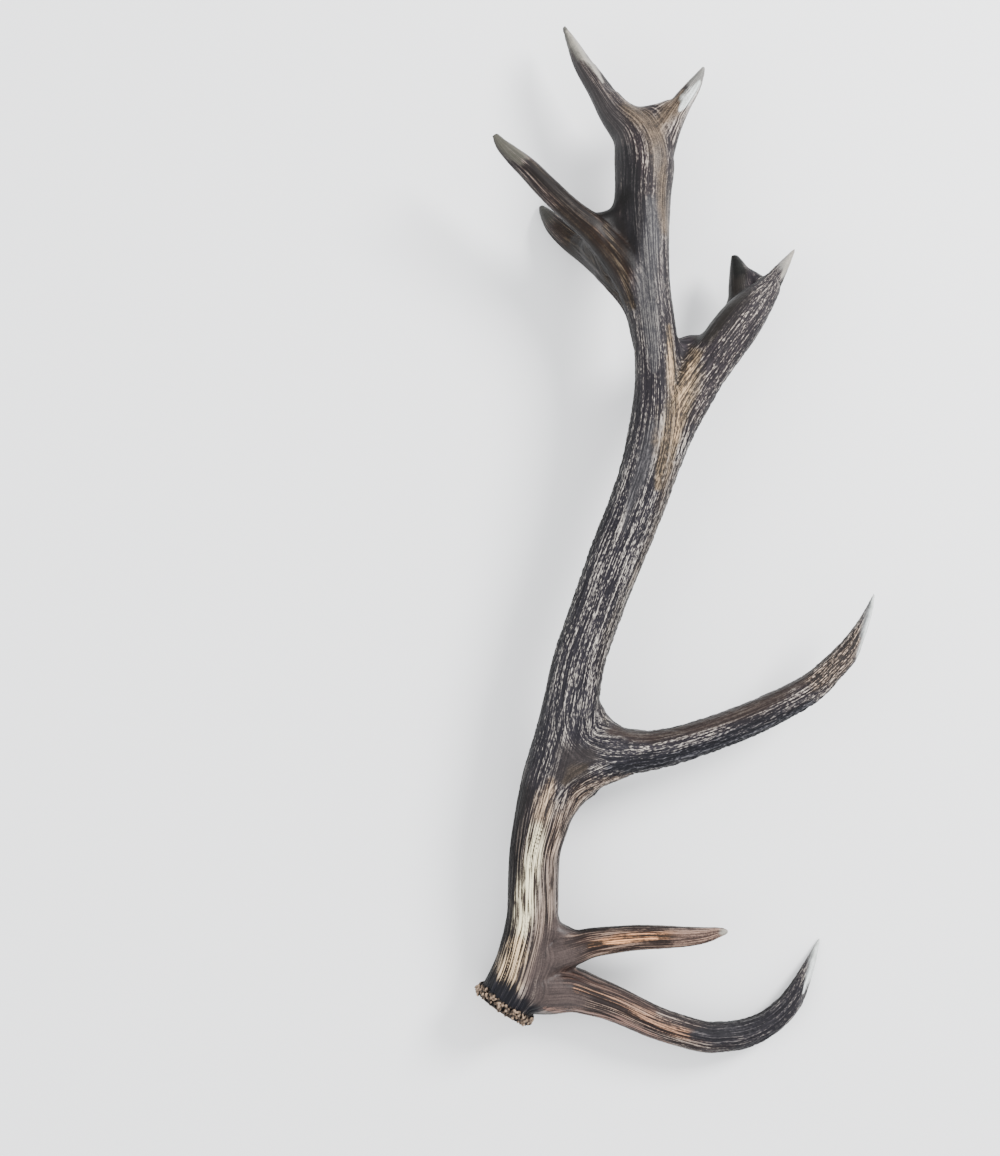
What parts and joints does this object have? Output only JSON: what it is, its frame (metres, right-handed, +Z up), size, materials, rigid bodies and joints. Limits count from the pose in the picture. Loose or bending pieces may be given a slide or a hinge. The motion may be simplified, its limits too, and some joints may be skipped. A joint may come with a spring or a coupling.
{
  "type": "deer antler",
  "caption": "Right antler of a red stag for display or craft: a curved beam with a beaded burr at its foot, long lower tines and a forked crown, lying on its side.",
  "frame": {"origin": "on the floor, under the middle of the antler's bounding box", "axes": "+Y up the beam from the burr to the crown, +X to the side the lower tines grow on, +Z up from the floor it lies on"},
  "size_m": [0.3796, 0.988, 0.1095],
  "materials": {
    "lower_beam": "weathered antler bone, cream ridges over dark brown grooves, beaded burr",
    "brow_tine": "antler bone, brown with tan streaks, polished pale tip",
    "bez_tine": "antler bone, warm brown with an ochre streak, polished pale tip",
    "trez_tine": "antler bone, dark brown with pale beading below and a smooth olive upper side",
    "upper_beam": "antler bone, near-black brown with pale beading, rubbed grey on the crown",
    "front_crown_tine": "antler bone, dark brown, smooth, with polished pale tips",
    "rear_crown_tine": "antler bone, near-black brown with tan ridges and grey polished tips",
    "top_front_tine": "antler bone, brown at the root, polished ivory at the tip"
  },
  "bodies": {
    "root": {"lower_beam": "lower_beam", "brow_tine": "brow_tine", "bez_tine": "bez_tine", "trez_tine": "trez_tine", "upper_beam": "upper_beam", "front_crown_tine": "front_crown_tine", "rear_crown_tine": "rear_crown_tine", "top_front_tine": "top_front_tine"}
  },
  "joints": []
}
